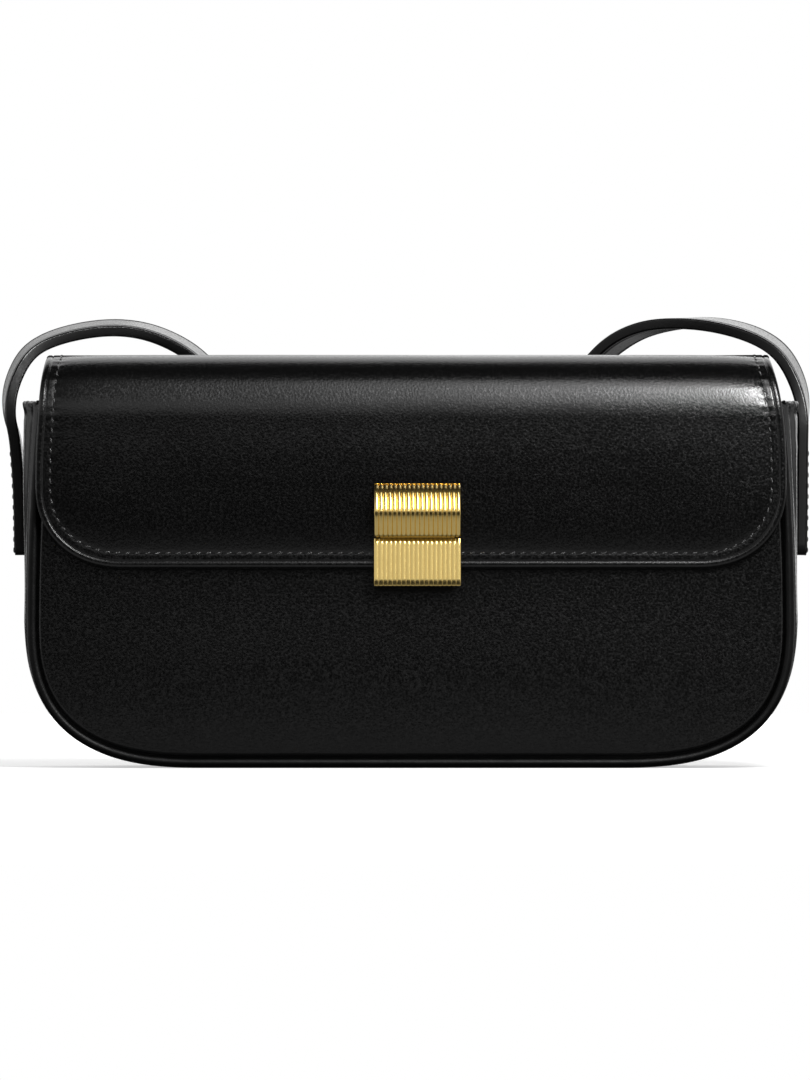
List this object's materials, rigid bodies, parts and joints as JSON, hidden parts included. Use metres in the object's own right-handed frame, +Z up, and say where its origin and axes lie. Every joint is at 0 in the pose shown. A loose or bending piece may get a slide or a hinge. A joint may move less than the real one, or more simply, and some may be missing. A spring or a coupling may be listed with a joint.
{
  "type": "handbag",
  "caption": "Structured black leather shoulder bag with a fold-over flap, a ribbed gold clasp and a flat strap.",
  "frame": {"origin": "middle of the base, where the bag stands", "axes": "+X the bag's right seen from the front, -Y out of the front, +Z up"},
  "size_m": [0.2765, 0.1049, 0.1525],
  "materials": {
    "leather": "smooth gloss",
    "lining": "matte",
    "board": "raw fibreboard",
    "gold": "polished pale gold",
    "steel": "plain",
    "magnet": "nickel-plated"
  },
  "bodies": {
    "body": {"front_panel": "leather", "front_facing": "leather", "back_panel": "leather", "gusset": "leather", "gusset_facing_left": "leather", "gusset_facing_right": "leather", "front_piping": "leather", "back_piping": "leather", "strap_left": "leather", "strap_right": "leather", "front_lining": "lining", "back_lining": "lining", "gusset_lining": "lining", "inner_pocket": "lining", "front_board": "board", "back_board": "board", "gusset_stiffener": "board", "catch_block": "gold", "catch_back_plate": "steel", "catch_screw_left": "steel", "catch_screw_right": "steel", "catch_magnet": "magnet"},
    "flap_top": {"flap_top_leather": "leather", "flap_top_board": "board", "flap_top_lining": "lining"},
    "flap_front": {"flap_front_leather": "leather", "flap_front_board": "board", "flap_front_lining": "lining", "clasp_housing": "gold", "clasp_back_plate": "steel", "clasp_screw_left": "steel", "clasp_screw_right": "steel", "clasp_pin": "steel", "clasp_spring": "steel"},
    "clasp_lever": {"clasp_tongue": "gold", "tongue_keeper": "steel"},
    "strap_back": {"strap_loop": "leather"}
  },
  "joints": [
    {"name": "flap_hinge", "type": "hinge", "parent": "body", "child": "flap_top", "pos_m": [0, 0.012, 0.14], "axis": [-1, 0, 0], "range_deg": [0, 120]},
    {"name": "flap_fold", "type": "hinge", "parent": "flap_top", "child": "flap_front", "pos_m": [0, -0.03522, 0.12517], "axis": [-1, 0, 0], "range_deg": [0, 85]},
    {"name": "clasp_lift", "type": "hinge", "parent": "flap_front", "child": "clasp_lever", "pos_m": [0.0022, -0.03779, 0.0797], "axis": [-1, 0, 0], "range_deg": [0, 35], "stiffness_Nm_per_rad": 0.01, "springref_deg": -11.46, "deforming": ["clasp_spring"]},
    {"name": "strap_swing", "type": "hinge", "parent": "body", "child": "strap_back", "pos_m": [0, 0.0558, 0.12476], "axis": [1, 0, 0], "range_deg": [0, 110]}
  ]
}
